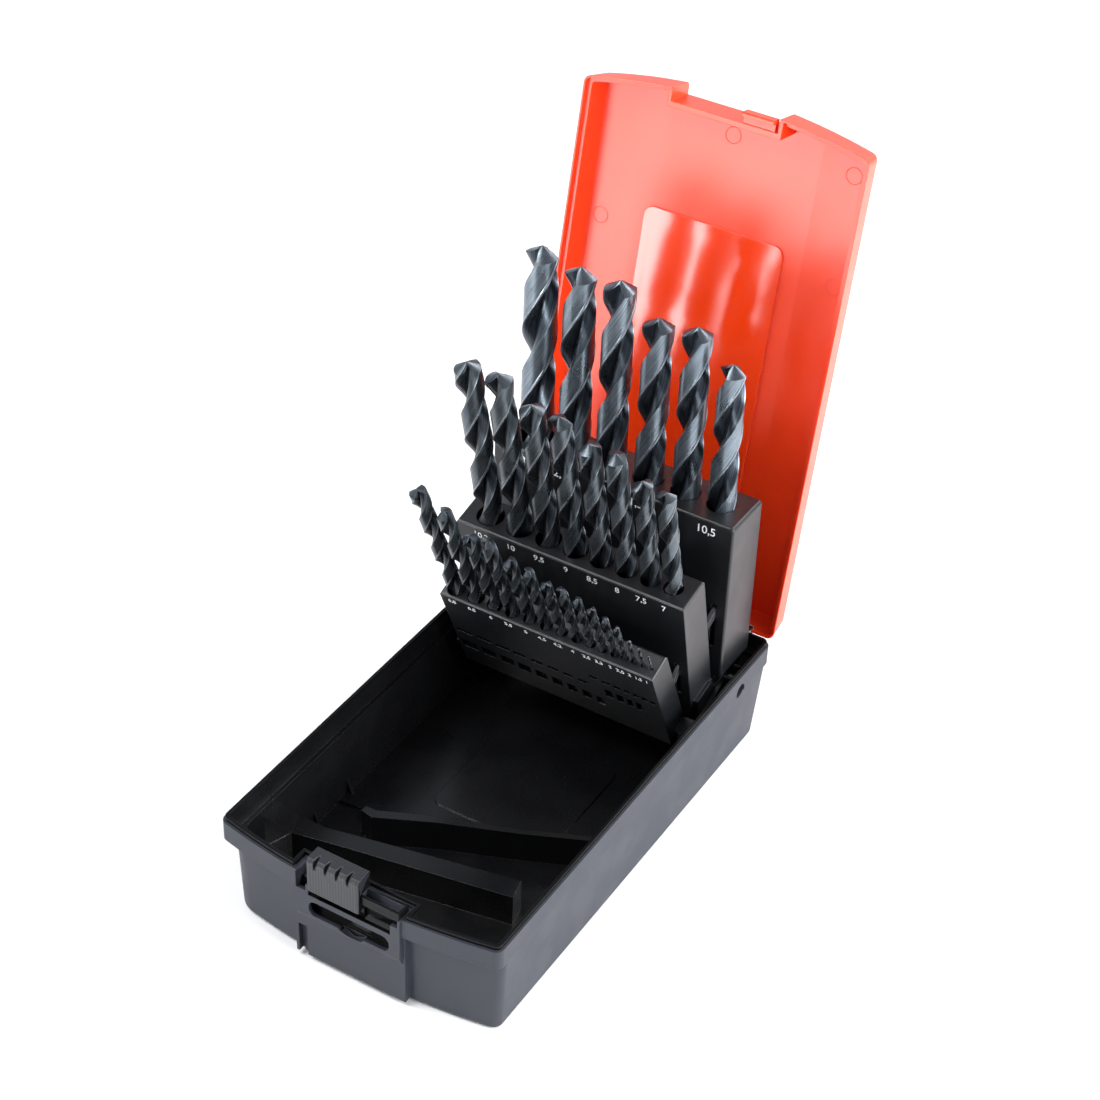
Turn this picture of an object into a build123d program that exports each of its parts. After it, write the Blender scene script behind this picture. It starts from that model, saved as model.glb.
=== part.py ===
from build123d import *
from math import sin, cos, radians, tan
import os

# Drill bit case: tray, hinged lid, sliding latch, three tiered holders on one
# pivot line, drag links, lift links and 29 twist drills.
# Frame: +X right, +Y towards the hinge, +Z up. The origin is the middle of the
# tray's bottom face. Rest pose: lid open on its stop, holders raised, latch
# slider in its unlocked place. Millimetres.

# ---------------------------------------------------------------- dimensions
TRAY_H = 41.0            # rim height of the tray
BAND_Z = 33.0            # underside of the proud rim band
FLOOR = 1.8              # floor thickness
HALF_W = 56.5            # half width over the band
Y_REAR = 93.5            # rear face of the band
Y_CORNER = -95.0         # where the bowed front meets the sides
Y_FRONT = -101.0         # crown of the bowed front
WALL = 2.0
FOOT_HALF = 54.4         # half width at the foot (drafted walls)
FOOT_REAR = 90.6
FOOT_CORNER = -91.9
FOOT_FRONT = -97.2
LOW_HALF = 56.1          # half width of the lower wall just under the band
LOW_REAR = 92.9
LOW_CORNER = -92.2
LOW_FRONT = -98.0

LIP_TOP = 42.7           # raised inner lip that the lid closes over
RING_TOP = 44.0          # raised ring of the tab pocket
BIG_CORNER = 10.5        # the lower body's left front corner is rounded more than the others
LIP_OUT = 0.8            # inset of the lip from the band face
RECESS_HALF = 20.4       # latch recess in the front wall
RECESS_Y = -94.3         # outer face of the recess wall
PANEL_Y = -101.0         # face of the latch panel at its top

HINGE_Y, HINGE_Z = 94.1, 41.0
LID_OPEN = 101.5         # degrees between closed and the open stop
LID_TOP = 54.2           # outer top of the closed lid
LID_CEIL = 52.4
LID_PANEL = 51.6
LID_Z0 = 41.08           # rim plane of the closed lid
LID_RECESS_HALF = 21.2
LID_RECESS_Y = -94.9
TAB_X0, TAB_X1 = 7.2, 19.8

PIVOT_Y, PIVOT_Z = 70.0, 34.2
PIN_R = 2.97
BORE_R = 3.05

SLIDE_TRAVEL = 12.0
SLIDER_X0, SLIDER_X1 = -14.8, 6.0

# holders: lean when raised, front face offset, thickness, top, bottom, half width
REAR = dict(a=0.0, n0=-4.8, t=21.8, top=74.6, bot=-4.8, half=50.0, ax=6.1)
MID = dict(a=13.0, n0=-20.2, t=15.0, top=62.8, bot=0.5, half=47.2, ax=-12.7)
FRONT = dict(a=23.2, n0=-31.4, t=10.8, top=50.2, bot=1.0, half=44.6, ax=-27.0)

# drills: diameter, overall length, x, shank end along the holder
REAR_BITS = [
    (13.0, 151, -38.4, 4.0), (12.5, 151, -22.5, 0.8), (12.0, 151, -6.7, 0.8),
    (11.5, 142, 9.2, 0.2), (11.0, 142, 24.5, 2.0), (10.5, 133, 39.0, 1.0)]
MID_BITS = [
    (10.2, 133, -37.1, 7.7), (10.0, 133, -24.4, 7.7), (9.5, 125, -12.4, 6.0),
    (9.0, 125, -1.1, 5.4), (8.5, 117, 9.8, 5.4), (8.0, 117, 20.1, 5.4),
    (7.5, 109, 29.9, 4.4), (7.0, 109, 39.0, 3.2)]
FRONT_BITS = [
    (6.8, 109, -39.8, 6.5), (6.5, 101, -31.3, 6.0), (6.0, 93, -23.1, 3.2),
    (5.5, 93, -15.6, 4.7), (5.0, 86, -8.2, 4.2), (4.5, 80, -1.3, 7.9),
    (4.2, 75, 5.2, 8.6), (4.0, 75, 11.5, 8.9), (3.5, 70, 17.2, 11.0),
    (3.3, 65, 22.3, 12.9), (3.0, 61, 27.0, 13.4), (2.5, 57, 31.1, 14.0),
    (2.0, 49, 34.9, 15.5), (1.5, 40, 38.5, 22.0), (1.0, 34, 41.9, 24.8)]
SOCKET_GAP = 0.08        # radial clearance of a drill in its socket

# drag links between neighbouring holders: thickness, half width, trunnion
LINK_T = 1.6
LINK_HALF = 1.7
TRUN_R = 1.0
RM_X, RM_A, RM_B = 45.0, (36.0, -3.0), (33.0, -7.5)     # rear to middle
MF_X, MF_A, MF_B = 42.6, (27.5, -18.7), (27.0, -22.0)   # middle to front
MF_T = 1.4

# lift links between lid and rear holder
LIFT_X = (-14.5, 16.9)
LIFT_C = (3.36, 10.56)       # pivot in the raised rear holder (along, across)
LIFT_D = (89.8, 49.65)       # pivot in the closed lid (y, z)
LIFT_T = 1.8


# ------------------------------------------------------------------- helpers
def u_along(a):
    """Direction from the pivot line towards the drill tips."""
    return Vector(0, -sin(radians(a)), cos(radians(a)))


def u_across(a):
    """Direction from a holder's front face to its back face."""
    return Vector(0, cos(radians(a)), sin(radians(a)))


def at(a, s, n, x=0.0):
    """Point in a holder's own coordinates, placed in the case."""
    return Vector(x, PIVOT_Y, PIVOT_Z) + u_along(a) * s + u_across(a) * n


def section(a, x=0.0):
    """Plane across a holder: local x is across, local y is along."""
    return Plane(origin=at(a, 0, 0, x), x_dir=u_across(a), z_dir=(1, 0, 0))


def topface(a, s):
    """Plane over a holder's top: local x is case x, local y is across."""
    return Plane(origin=at(a, s, 0), x_dir=(1, 0, 0), z_dir=u_along(a))


def frontface(a, n):
    """Plane of a holder's front face: local x is case x, local y is along."""
    return Plane(origin=at(a, 0, n), x_dir=(1, 0, 0), z_dir=-u_across(a))


def opened(y, z):
    """A point of the closed lid, moved to the open stop."""
    t = radians(LID_OPEN)
    dy, dz = y - HINGE_Y, z - HINGE_Z
    return (HINGE_Y + dy * cos(t) + dz * sin(t), HINGE_Z - dy * sin(t) + dz * cos(t))


def outline(half, rear, corner, front, r_front, r_rear, r_left=None):
    """Plan of the case: straight sides and rear, bowed front."""
    with BuildSketch() as plan:
        with BuildLine():
            Line((-half, corner), (-half, rear))
            Line((-half, rear), (half, rear))
            Line((half, rear), (half, corner))
            ThreePointArc((half, corner), (0, front), (-half, corner))
        make_face()
        high = plan.vertices().group_by(Axis.Y)[-1]
        fillet(high, r_rear)
        for x, r in ((-half, r_left or r_front), (half, r_front)):
            fillet([v for v in plan.vertices() if abs(v.X - x) < 1e-4 and abs(v.Y - corner) < 1e-4], r)
    return plan.sketch


# ----------------------------------------------------------------- tray
with BuildPart() as base_tray:
    with BuildSketch(Plane.XY):
        add(outline(FOOT_HALF, FOOT_REAR, FOOT_CORNER, FOOT_FRONT, 3.6, 5, BIG_CORNER - 0.8))
    with BuildSketch(Plane.XY.offset(BAND_Z)):
        add(outline(LOW_HALF, LOW_REAR, LOW_CORNER, LOW_FRONT, 3.2, 4, BIG_CORNER))
    loft()
    fillet(base_tray.edges().group_by(Axis.Z)[0], 1.9)
    # proud rim band
    with BuildSketch(Plane.XY.offset(BAND_Z)):
        add(outline(HALF_W, Y_REAR, Y_CORNER, Y_FRONT, 3.2, 3.2))
    extrude(amount=TRAY_H - BAND_Z)
    # latch panel: a proud wedge on the front wall
    with BuildSketch(Plane.YZ.offset(-RECESS_HALF - 0.4)):
        with BuildLine():
            Polyline((PANEL_Y, TRAY_H), (PANEL_Y, 23), (-98.3, 17.0), (-97.3, 2.0), (-96.7, 0.0),
                     (-93.5, 0.0), (-93.5, TRAY_H), (PANEL_Y, TRAY_H))
        make_face()
    extrude(amount=2 * RECESS_HALF + 1.3)
    # interior, drafted below the band
    with BuildSketch(Plane.XY.offset(FLOOR)):
        add(outline(FOOT_HALF - 1.6, FOOT_REAR - 1.8, FOOT_CORNER + 2.0, FOOT_FRONT + 2.0, 3, 4, BIG_CORNER - 2.6))
    with BuildSketch(Plane.XY.offset(BAND_Z)):
        add(outline(LOW_HALF - 3.3, LOW_REAR - 2.2, LOW_CORNER + 2.2, LOW_FRONT + 2.2, 2.6, 3, BIG_CORNER - 1.4))
    loft(mode=Mode.SUBTRACT)
    with BuildSketch(Plane.XY.offset(BAND_Z)):
        add(outline(HALF_W - WALL, Y_REAR - WALL, Y_CORNER + WALL, Y_FRONT + WALL, 1.6, 1.6))
    extrude(amount=TRAY_H - BAND_Z, mode=Mode.SUBTRACT)
    # raised inner lip
    with BuildSketch(Plane.XY.offset(TRAY_H)):
        add(outline(HALF_W - LIP_OUT, Y_REAR - LIP_OUT, Y_CORNER + LIP_OUT, Y_FRONT + LIP_OUT, 2.4, 2.4))
        add(outline(HALF_W - WALL, Y_REAR - WALL, Y_CORNER + WALL, Y_FRONT + WALL, 1.6, 1.6), mode=Mode.SUBTRACT)
    extrude(amount=LIP_TOP - TRAY_H)
    # recess wall behind the latch, closing the tray inside
    with BuildSketch(Plane.XY.offset(FLOOR)):
        with Locations((0, (-99.5 + RECESS_Y + 2.0) / 2)):
            Rectangle(2 * (RECESS_HALF + 2.0), RECESS_Y + 2.0 + 99.5)
    extrude(amount=TRAY_H - FLOOR)
    with Locations((0, (-98.9 - 91.75) / 2, (TRAY_H + LIP_TOP) / 2)):
        Box(2 * (RECESS_HALF + 3.2), 98.9 - 91.75, LIP_TOP - TRAY_H)
    with Locations((0, (-103.5 - 92.7) / 2, (TRAY_H + 50) / 2)):
        Box(2 * (RECESS_HALF + 2.25), 103.5 - 92.7, 50 - TRAY_H, mode=Mode.SUBTRACT)
    # cavity in front of the recess wall: open top above the deck
    with Locations((0, (PANEL_Y - 1 + RECESS_Y) / 2, (37.2 + 50) / 2)):
        Box(2 * RECESS_HALF, RECESS_Y - PANEL_Y + 1, 50 - 37.2, mode=Mode.SUBTRACT)
    # leg channel behind the panel wall
    with Locations((-0.3, -98.55, (23.4 + 45) / 2)):
        Box(2 * RECESS_HALF - 0.6, 1.9, 45 - 23.4, mode=Mode.SUBTRACT)
    # front window over the bar, from post to post
    with Locations((0.9, -100.6, (32.8 + 50) / 2)):
        Box(33.2, 3.0, 50 - 32.8, mode=Mode.SUBTRACT)
    with Locations((-18.6, -100.6, (34.2 + 50) / 2)):
        Box(4.0, 3.0, 50 - 34.2, mode=Mode.SUBTRACT)
    # raised ring of the tab pocket: sill, right end and divider
    with Locations((12.0, -100.4, (40.6 + RING_TOP) / 2)):
        Box(18.2, 1.2, RING_TOP - 40.6)
    with Locations((20.7, -97.9, (39.6 + RING_TOP) / 2)):
        Box(0.8, 5.4, RING_TOP - 39.6)
    with Locations((3.4, -97.9, (39.6 + RING_TOP) / 2)):
        Box(1.0, 5.4, RING_TOP - 39.6)
    with Locations((3.4, -95.0, 39.8)):
        Box(1.0, 1.8, 2.4)
    with Locations((20.7, -95.0, 39.8)):
        Box(0.8, 1.8, 2.4)
    # lower slot with a dip in its middle
    with BuildSketch(Plane.XZ.offset(101.6)):
        with Locations((0.7, 27.1)):
            RectangleRounded(32.6, 6.7, 3.0)
        with Locations((1.6, 24.6)):
            Ellipse(5.2, 3.8)
    extrude(amount=-3.0, mode=Mode.SUBTRACT)
    # step and groove at the panel's lower left edge
    with BuildSketch(Plane.XZ.offset(102.0)):
        with Locations((-20.2, 7.4)):
            Rectangle(2.2, 15.8)
    extrude(amount=-4.7, mode=Mode.SUBTRACT)
    with BuildSketch(Plane.XZ.offset(102.0)):
        with Locations((-18.4, 8.2)):
            Rectangle(1.6, 14.4)
    extrude(amount=-5.6, mode=Mode.SUBTRACT)
    # tip rests: skewed ribs on the floor
    with BuildSketch(Plane.XY.offset(FLOOR - 0.5)):
        with BuildLine():
            Polyline((-53.9, -78.6), (-52.9, -78.0), (-49.2, -65.6), (-26.7, -60.9), (33.2, -49.6),
                     (31.4, -41.0), (-34.5, -55.4), (-41.0, -56.8), (-53.9, -56.8), (-53.9, -78.6))
        make_face()
    extrude(amount=15.2 - FLOOR + 0.5)
    with BuildSketch(Plane.XY.offset(15.2)):
        with BuildLine():
            Polyline((-54.0, -79.0), (-49.2, -65.6), (-52.0, -56.9), (-54.0, -56.9), (-54.0, -79.0))
        make_face()
    with BuildSketch(Plane.XY.offset(30.6)):
        with BuildLine():
            Polyline((-54.0, -78.6), (-52.8, -77.4), (-52.8, -67.2), (-54.0, -66.8), (-54.0, -78.6))
        make_face()
    loft(ruled=True)
    with BuildSketch(Plane.XY.offset(FLOOR - 0.5)):
        with BuildLine():
            Polyline((-35.4, -42.4), (-30.3, -43.5), (-8.7, -32.7), (19.4, -21.0), (53.0, -5.2),
                     (53.0, -2.4), (18.2, -19.0), (-10.7, -29.9), (-31.0, -39.6), (-35.4, -39.8),
                     (-35.4, -42.4))
        make_face()
    extrude(amount=15.0 - FLOOR + 0.5)
    with BuildSketch(Plane.XY.offset(FLOOR - 0.5)):
        with BuildLine():
            Polyline((-52.8, -32.4), (-42.4, -31.4), (-36.6, -41.8), (-34.0, -43.0), (-30.0, -42.6),
                     (-30.0, -40.6), (-32.6, -37.4), (-38.6, -26.4), (-52.8, -27.6), (-52.8, -32.4))
        make_face()
    extrude(amount=3.2 - FLOOR + 0.5)
    # small gussets where the left wall meets the floor
    for gy in (-47.2, -26.7):
        with BuildSketch(Plane.XZ.offset(-gy - 0.7)):
            with BuildLine():
                Polyline((-52.8, 1.4), (-49.6, 1.4), (-52.8, 9.0), (-52.8, 1.4))
            make_face()
        extrude(amount=1.4)
    # raised floor panel
    with BuildSketch(Plane.XY.offset(FLOOR - 0.3)):
        with Locations((0, 12.0)):
            RectangleRounded(50, 51, 4)
    extrude(amount=0.8)
    # bearing bosses and guide ribs for the holder pivot
    for sx in (-1, 1):
        with BuildSketch(Plane.YZ.offset(sx * 51.05)):
            with Locations((PIVOT_Y, PIVOT_Z)):
                Circle(5.4)
            for gy in (PIVOT_Y - 3.9, PIVOT_Y + 3.9):
                with Locations((gy, 37.6)):
                    SlotOverall(9.0, 1.9, rotation=90)
        extrude(amount=sx * 4.2)
        with BuildSketch(Plane.YZ.offset(sx * 50.0)):
            with Locations((PIVOT_Y, PIVOT_Z)):
                Circle(3.0)
        extrude(amount=sx * 8, mode=Mode.SUBTRACT)
    # notches in the rear wall for the lift links
    for lx in LIFT_X:
        with Locations((lx, Y_REAR - 1.2, 42.0)):
            Box(2.9, 6.0, 9.4, mode=Mode.SUBTRACT)
    # hinge knuckles behind the rear wall
    for x0 in (-47.0, -32.6, 25.4, 39.8):
        with BuildSketch(Plane.YZ.offset(x0)):
            with Locations((HINGE_Y, HINGE_Z)):
                Circle(2.8)
            with BuildLine():
                Polyline((HINGE_Y - 2.0, HINGE_Z - 0.3), (HINGE_Y + 2.79, HINGE_Z - 0.3),
                         (HINGE_Y - 0.4, HINGE_Z - 7.4), (HINGE_Y - 2.0, HINGE_Z - 7.4),
                         (HINGE_Y - 2.0, HINGE_Z - 0.3))
            make_face()
        extrude(amount=7.2)
    # room for the lid's knuckles
    for x0 in (-39.8, 32.6):
        with BuildSketch(Plane.YZ.offset(x0)):
            with Locations((HINGE_Y, HINGE_Z)):
                Circle(3.2)
        extrude(amount=7.2, mode=Mode.SUBTRACT)
    for x0 in (-47.5, 24.9):
        with BuildSketch(Plane.YZ.offset(x0)):
            with Locations((HINGE_Y, HINGE_Z)):
                Circle(1.25)
        extrude(amount=22.6, mode=Mode.SUBTRACT)
    # stops that the open lid's rear wall rests on
    for sx in (-1, 1):
        with BuildSketch(Plane.YZ.offset(sx * 8.0)):
            with BuildLine():
                Polyline((92.4, 40.9), (HINGE_Y + 0.9, 40.9), (HINGE_Y + 4.6, 40.2 - 0.35),
                         (HINGE_Y + 4.6, 38.6), (HINGE_Y - 0.9, 33.6), (92.4, 33.6), (92.4, 40.9))
            make_face()
        extrude(amount=sx * 3.6)
base_tray.part.label = "base_tray"

# ----------------------------------------------------------------- lid (modelled closed, then swung open)
with BuildPart() as lid_shut:
    with BuildSketch(Plane.XY.offset(LID_Z0)):
        add(outline(HALF_W, Y_REAR, Y_CORNER, Y_FRONT, 3.2, 3.2))
    with BuildSketch(Plane.XY.offset(LID_TOP)):
        add(outline(HALF_W - 2.1, Y_REAR - 1.0, Y_CORNER + 0.9, Y_FRONT + 0.3, 3.0, 3.0))
    loft()
    fillet(lid_shut.edges().group_by(Axis.Z)[-1], 2.4)
    with BuildSketch(Plane.XY.offset(LID_Z0)):
        add(outline(HALF_W - WALL, Y_REAR - WALL, Y_CORNER + WALL, Y_FRONT + WALL, 1.6, 1.6))
    with BuildSketch(Plane.XY.offset(LID_CEIL)):
        add(outline(HALF_W - WALL - 2.2, Y_REAR - WALL - 1.2, Y_CORNER + WALL + 1.6, Y_FRONT + WALL + 1.0, 1.6, 1.6))
    loft(mode=Mode.SUBTRACT)
    # rebate that takes the tray's lip
    with BuildSketch(Plane.XY.offset(LID_Z0)):
        add(outline(HALF_W - LIP_OUT + 0.1, Y_REAR - LIP_OUT + 0.1, Y_CORNER + LIP_OUT - 0.1,
                    Y_FRONT + LIP_OUT - 0.1, 2.5, 2.5))
    extrude(amount=LIP_TOP + 0.4 - LID_Z0, mode=Mode.SUBTRACT)
    # wall around the latch recess, then the recess itself
    with BuildSketch(Plane.XY.offset(LID_Z0)):
        with Locations((0, (-99.3 + LID_RECESS_Y + WALL) / 2)):
            Rectangle(2 * (LID_RECESS_HALF + 1.35), LID_RECESS_Y + WALL + 99.3)
    extrude(amount=LID_CEIL - LID_Z0 + 0.4)
    with Locations((0, (-104 + LID_RECESS_Y) / 2, 50)):
        Box(2 * LID_RECESS_HALF, LID_RECESS_Y + 104, 30, mode=Mode.SUBTRACT)
    # latch tab with a turned-down lip
    with BuildSketch(Plane.YZ.offset(TAB_X0)):
        with BuildLine():
            Polyline((LID_RECESS_Y + 0.5, 41.6), (-97.8, 41.6), (-97.8, 39.4), (-98.9, 39.4),
                     (-99.3, 39.9), (-99.3, 43.9), (LID_RECESS_Y + 0.5, 43.9), (LID_RECESS_Y + 0.5, 41.6))
        make_face()
    extrude(amount=TAB_X1 - TAB_X0)
    # raised panel on the inside of the lid
    with BuildSketch(Plane.XY.offset(LID_PANEL)):
        with Locations((-1.2, 11.3)):
            RectangleRounded(57, 125.6, 4)
    extrude(amount=LID_CEIL - LID_PANEL + 0.3)
    # knuckles on the rear wall
    for x0 in (-39.5, 32.9):
        with BuildSketch(Plane.YZ.offset(x0)):
            with Locations((HINGE_Y, HINGE_Z)):
                Circle(2.8)
            with BuildLine():
                Polyline((HINGE_Y - 1.2, HINGE_Z + 0.3), (HINGE_Y + 2.79, HINGE_Z + 0.3),
                         (HINGE_Y - 0.8, HINGE_Z + 7.4), (HINGE_Y - 2.0, HINGE_Z + 7.4),
                         (HINGE_Y - 2.0, HINGE_Z + 3.6), (HINGE_Y - 1.2, HINGE_Z + 3.6),
                         (HINGE_Y - 1.2, HINGE_Z + 0.3))
            make_face()
        extrude(amount=6.6)
        with BuildSketch(Plane.YZ.offset(x0 - 1)):
            with Locations((HINGE_Y, HINGE_Z)):
                Circle(1.25)
        extrude(amount=9, mode=Mode.SUBTRACT)
    # room for the tray's knuckles
    for x0 in (-47.3, -32.9, 25.1, 39.5):
        with BuildSketch(Plane.YZ.offset(x0)):
            with Locations((HINGE_Y, HINGE_Z)):
                Circle(3.2)
        extrude(amount=7.8, mode=Mode.SUBTRACT)
    # lugs for the lift links
    for lx in LIFT_X:
        for sx in (-1, 1):
            with BuildSketch(Plane.YZ.offset(lx + sx * 1.15)):
                with BuildLine():
                    Polyline((LIFT_D[0] - 2.6, 53.0), (LIFT_D[0] - 2.2, 48.2), (LIFT_D[0] - 0.8, 47.4),
                             (LIFT_D[0] + 0.8, 47.4), (LIFT_D[0] + 1.8, 48.2), (LIFT_D[0] + 1.8, 53.0),
                             (LIFT_D[0] - 2.6, 53.0))
                make_face()
            extrude(amount=sx * 1.6)
        with BuildSketch(Plane.YZ.offset(lx - 2.75)):
            with Locations(LIFT_D):
                Circle(1.2)
        extrude(amount=5.5, mode=Mode.SUBTRACT)
        with BuildSketch(Plane.YZ.offset(lx)):
            with BuildLine():
                Polyline((LIFT_D[0] - 3.6, 51.9), (LIFT_D[0] - 3.6, 40.5), (95.5, 40.5), (95.5, 47.5),
                         (93.0, 48.6), (92.3, 51.9), (LIFT_D[0] - 3.6, 51.9))
            make_face()
        extrude(amount=1.15, both=True, mode=Mode.SUBTRACT)
    # small locating tabs on the side walls
    for (tx, ty) in ((54.6, -14.0), (54.6, 34.0), (-54.6, -14.0), (-54.6, 34.0)):
        with Locations((tx, ty, 46.2)):
            Box(1.4, 5.0, 2.8)

with BuildPart() as lid:
    add(lid_shut.part.rotate(Axis((0, HINGE_Y, HINGE_Z), (1, 0, 0)), -LID_OPEN))
lid.part.label = "lid"

# ----------------------------------------------------------------- latch slider
with BuildPart() as latch_slider:
    with BuildSketch(Plane.YZ.offset(SLIDER_X0)):
        with BuildLine():
            Polyline((-102.6, 37.0), (-102.6, 49.9), (-101.5, 51.3), (-95.4, 51.3), (-95.4, 44.6),
                     (-101.25, 44.6), (-101.25, 38.9), (-97.75, 38.9), (-97.75, 32.1), (-99.25, 32.1),
                     (-99.25, 37.5), (-101.25, 37.5), (-101.25, 37.0), (-102.6, 37.0))
        make_face()
    extrude(amount=SLIDER_X1 - SLIDER_X0)
    fillet(latch_slider.edges().filter_by(Axis.X).group_by(Axis.Z)[-1], 0.5)
    # grip grooves over the front top edge
    for i in range(4):
        gx = -11.4 + 4.4 * i
        with BuildSketch(Plane(origin=(gx, -102.8, 51.6), x_dir=(1, 0, 0), z_dir=(0, -0.70711, 0.70711))):
            with BuildLine():
                Polyline((-0.9, -3.2), (0.9, -3.2), (0.9, 3.2), (-0.9, 3.2), (-0.9, -3.2))
            make_face()
        extrude(amount=-3.0, taper=9, mode=Mode.SUBTRACT)
    fillet(latch_slider.edges().filter_by(Axis.Z).group_by(Axis.Y)[0], 0.6)
latch_slider.part.label = "latch_slider"

# ----------------------------------------------------------------- holders
with BuildPart() as rear_holder:
    a = REAR["a"]
    n0, n1 = REAR["n0"], REAR["n0"] + REAR["t"]
    with BuildSketch(section(a)):
        with BuildLine():
            Polyline((n0, 7.0), (n0, REAR["top"]), (n1, REAR["top"]), (n1, 7.0), (n0, 7.0))
        make_face()
    extrude(amount=REAR["half"], both=True)
    fillet(rear_holder.edges().filter_by(Axis.Y).group_by(Axis.Z)[-1], 1.6)
    fillet(rear_holder.edges().group_by(Axis.Z)[-1], 0.9)
    with BuildSketch(section(a)):
        with BuildLine():
            Polyline((n0, 8.0), (n0, -1.6), (n0 + 3.2, REAR["bot"]), (n1 - 3.2, REAR["bot"]),
                     (n1, -1.6), (n1, 8.0), (n0, 8.0))
        make_face()
    extrude(amount=47.0, both=True)
    # sockets
    for d, length, x, s_end in REAR_BITS:
        with BuildSketch(topface(a, s_end)):
            with Locations((x, REAR["ax"])):
                Circle(d / 2 + SOCKET_GAP)
        extrude(amount=REAR["top"] - s_end + 1, mode=Mode.SUBTRACT)
    # pivot bores in the neck
    for sx in (-1, 1):
        with BuildSketch(Plane.YZ.offset(sx * 44.95)):
            with Locations((PIVOT_Y, PIVOT_Z)):
                Circle(BORE_R)
        extrude(amount=sx * 4, mode=Mode.SUBTRACT)
    # pockets and pivot holes for the drag links
    for sx in (-1, 1):
        with BuildSketch(section(a, sx * RM_X)):
            with Locations((RM_A[1] - 1.0, RM_A[0] - 6.5)):
                Rectangle(6.2, 19.0)
        extrude(amount=LINK_T / 2 + 0.2, both=True, mode=Mode.SUBTRACT)
        with BuildSketch(section(a, sx * RM_X)):
            with Locations((RM_A[1], RM_A[0])):
                Circle(TRUN_R + 0.07)
        extrude(amount=LINK_T / 2 + 0.9, both=True, mode=Mode.SUBTRACT)
    # slots for the lift links
    for lx in LIFT_X:
        with BuildSketch(section(a, lx)):
            with BuildLine():
                Polyline((LIFT_C[1] - 2.9, -6), (LIFT_C[1] - 2.9, LIFT_C[0] + 2.9),
                         (18, LIFT_C[0] + 5.2), (18, -6), (LIFT_C[1] - 2.9, -6))
            make_face()
        extrude(amount=1.1, both=True, mode=Mode.SUBTRACT)
        with BuildSketch(section(a, lx)):
            with Locations((LIFT_C[1] + 0.12, LIFT_C[0] + 0.12)):
                Circle(1.42)
        extrude(amount=1.65, both=True, mode=Mode.SUBTRACT)
rear_holder.part.label = "rear_holder"

with BuildPart() as middle_holder:
    a = MID["a"]
    n0, n1 = MID["n0"], MID["n0"] + MID["t"]
    with BuildSketch(section(a)):
        with BuildLine():
            Polyline((n0, MID["bot"] + 2.0), (n0, MID["top"]), (n1, MID["top"]), (n1, MID["bot"]),
                     (n0 + 2.0, MID["bot"]), (n0, MID["bot"] + 2.0))
        make_face()
    extrude(amount=MID["half"], both=True)
    fillet(middle_holder.faces().sort_by(Axis.Z)[-1].edges(), 0.9)
    # side ears up to the pivot line
    for sx in (-1, 1):
        with BuildSketch(section(a, sx * 47.2)):
            with BuildLine():
                Polyline((n0 + 2.0, MID["bot"]), (n1 - 0.5, MID["bot"]), (n1 - 0.5, -4.4), (0, -4.4),
                         (0, 4.4), (n1 - 0.5, 4.4), (n1 - 2.5, 9.5), (n0 + 2.0, 9.5), (n0 + 2.0, MID["bot"]))
            make_face()
            with Locations((0, 0)):
                Circle(4.4)
        extrude(amount=sx * 1.6)
        with BuildSketch(section(a, sx * 46.0)):
            Circle(BORE_R)
        extrude(amount=sx * 4, mode=Mode.SUBTRACT)
        with BuildSketch(section(a, sx * 45.4)):
            with Locations((-6.6, 4.5)):
                Rectangle(2.8, 7.6)
        extrude(amount=sx * 2.4)
    for d, length, x, s_end in MID_BITS:
        with BuildSketch(topface(a, s_end)):
            with Locations((x, MID["ax"])):
                Circle(d / 2 + SOCKET_GAP)
        extrude(amount=MID["top"] - s_end + 1, mode=Mode.SUBTRACT)
    # slots where the rear drag links slide, with their side tracks
    for sx in (-1, 1):
        with BuildSketch(section(a, sx * RM_X)):
            with BuildLine():
                Polyline((-4.6, 21.6), (-10.6, 21.6), (-10.6, 35.2), (-4.6, 38.6), (-4.6, 21.6))
            make_face()
        extrude(amount=LINK_T / 2 + 0.2, both=True, mode=Mode.SUBTRACT)
        with BuildSketch(section(a, sx * RM_X)):
            with Locations((-8.1, 28.4)):
                SlotOverall(12.6, 3.5, rotation=90)
        extrude(amount=LINK_T / 2 + 0.9, both=True, mode=Mode.SUBTRACT)
        # pockets and pivot holes for the front drag links
        with BuildSketch(section(a, sx * MF_X)):
            with Locations((MF_A[1] - 0.1, MF_A[0] - 5.0)):
                Rectangle(4.0, 16.5)
        extrude(amount=MF_T / 2 + 0.2, both=True, mode=Mode.SUBTRACT)
        with BuildSketch(section(a, sx * MF_X)):
            with Locations((MF_A[1], MF_A[0])):
                Circle(TRUN_R + 0.07)
        extrude(amount=MF_T / 2 + 0.6, both=True, mode=Mode.SUBTRACT)
middle_holder.part.label = "middle_holder"

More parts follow.
